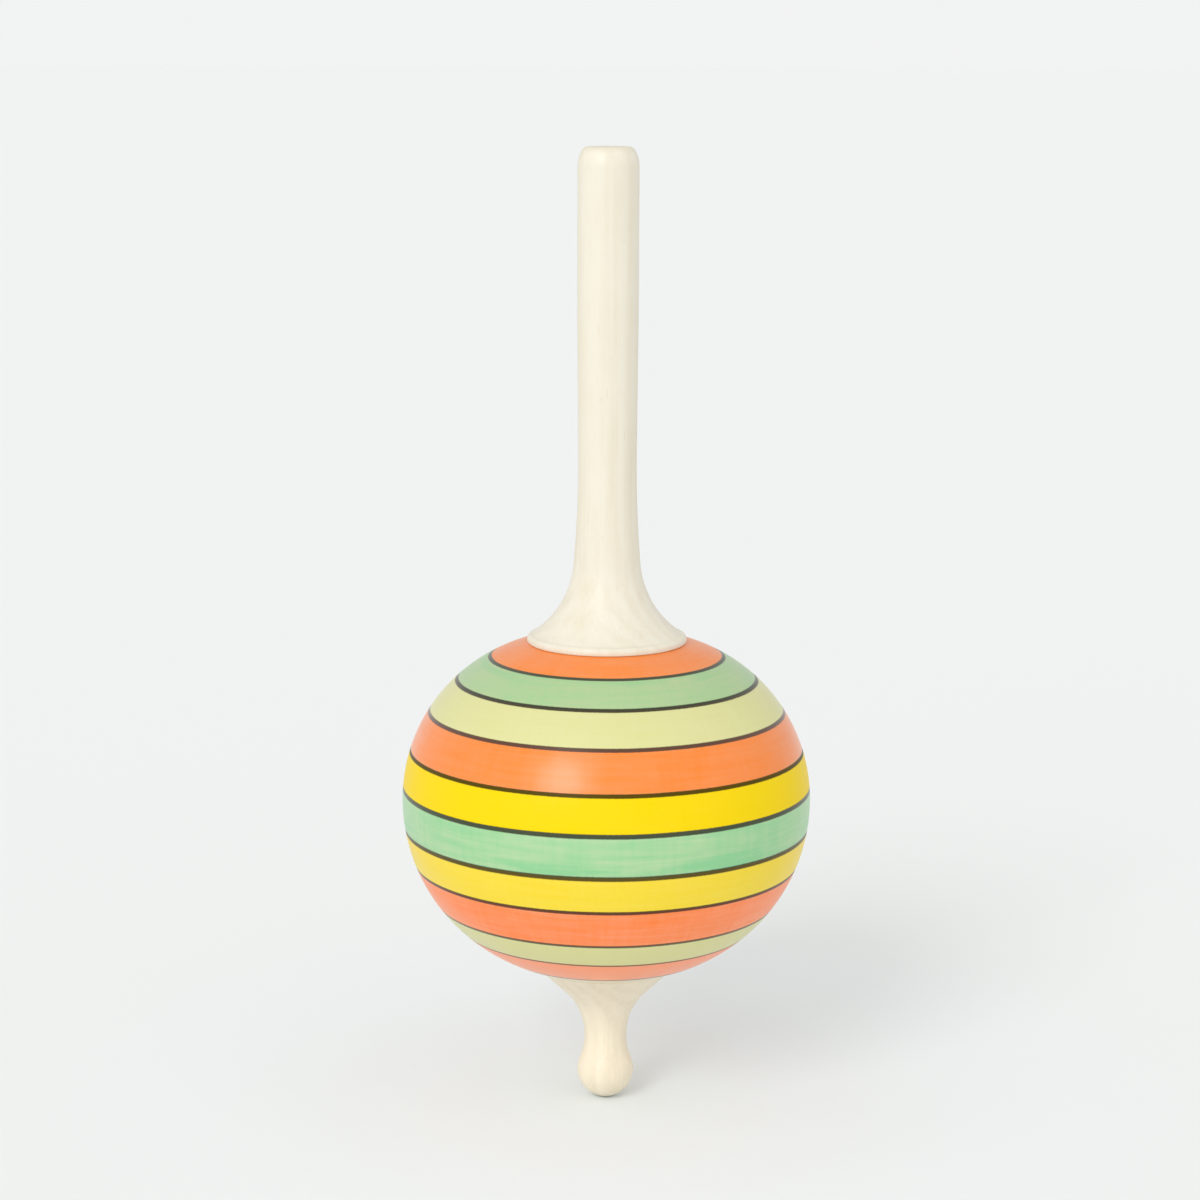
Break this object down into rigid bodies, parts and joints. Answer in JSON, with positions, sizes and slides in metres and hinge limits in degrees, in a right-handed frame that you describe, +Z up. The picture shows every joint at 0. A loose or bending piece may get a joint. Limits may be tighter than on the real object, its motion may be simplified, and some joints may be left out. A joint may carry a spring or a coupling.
{
  "type": "spinning top",
  "caption": "Hand-twirled wooden top: slightly flattened banded ball with a long round stem on a flared foot above and a small waisted tip with a rounded point below.",
  "frame": {"origin": "the point of the tip that the top spins on", "axes": "+Z up the spin axis from the tip to the end of the stem; X and Y are any two directions across it"},
  "size_m": [0.05, 0.05, 0.1175],
  "materials": {
    "bare_wood": "fine-sanded pale maple with a thin satin wax",
    "banded_wood": "turned maple stained in orange, green, lime and yellow bands with fine dark ink lines between them, under satin wax"
  },
  "bodies": {
    "root": {"handle": "bare_wood", "ball": "banded_wood", "tip": "bare_wood"}
  },
  "joints": []
}
